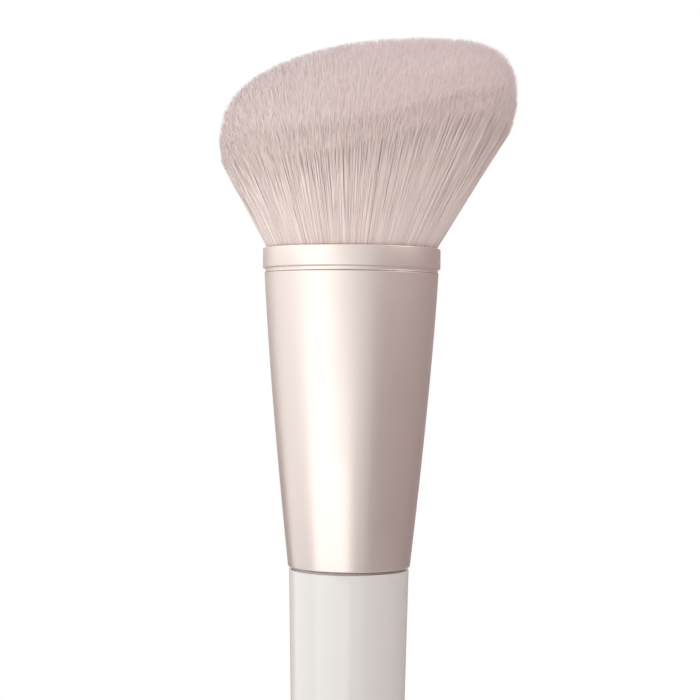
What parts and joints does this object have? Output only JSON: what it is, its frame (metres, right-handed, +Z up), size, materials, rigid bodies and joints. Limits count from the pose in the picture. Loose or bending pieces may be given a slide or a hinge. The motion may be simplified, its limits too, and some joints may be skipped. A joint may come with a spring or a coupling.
{
  "type": "blush brush",
  "caption": "Blush brush with a soft slanted domed head, a tapered round metal ferrule with a rolled lip, and a slim tapered handle with a flat butt.",
  "frame": {"origin": "centre of the handle's flat butt", "axes": "+Z up the handle's axis to the hair, +X to the high side of the slanted tuft, +Y across the tuft's thinner depth"},
  "size_m": [0.0338, 0.0263, 0.1649],
  "materials": {
    "lacquered_wood": "glossy off-white lacquer",
    "wood_glue": "cured adhesive",
    "champagne_aluminium": "satin champagne anodised",
    "epoxy": "cast epoxy",
    "binding_thread": "wound thread",
    "filament": "soft tapered synthetic filament, pale beige pink"
  },
  "bodies": {
    "root": {"handle": "lacquered_wood", "handle_glue": "wood_glue", "ferrule": "champagne_aluminium", "glue_plug": "epoxy", "tuft_binding": "binding_thread", "bristles": "filament"}
  },
  "joints": []
}
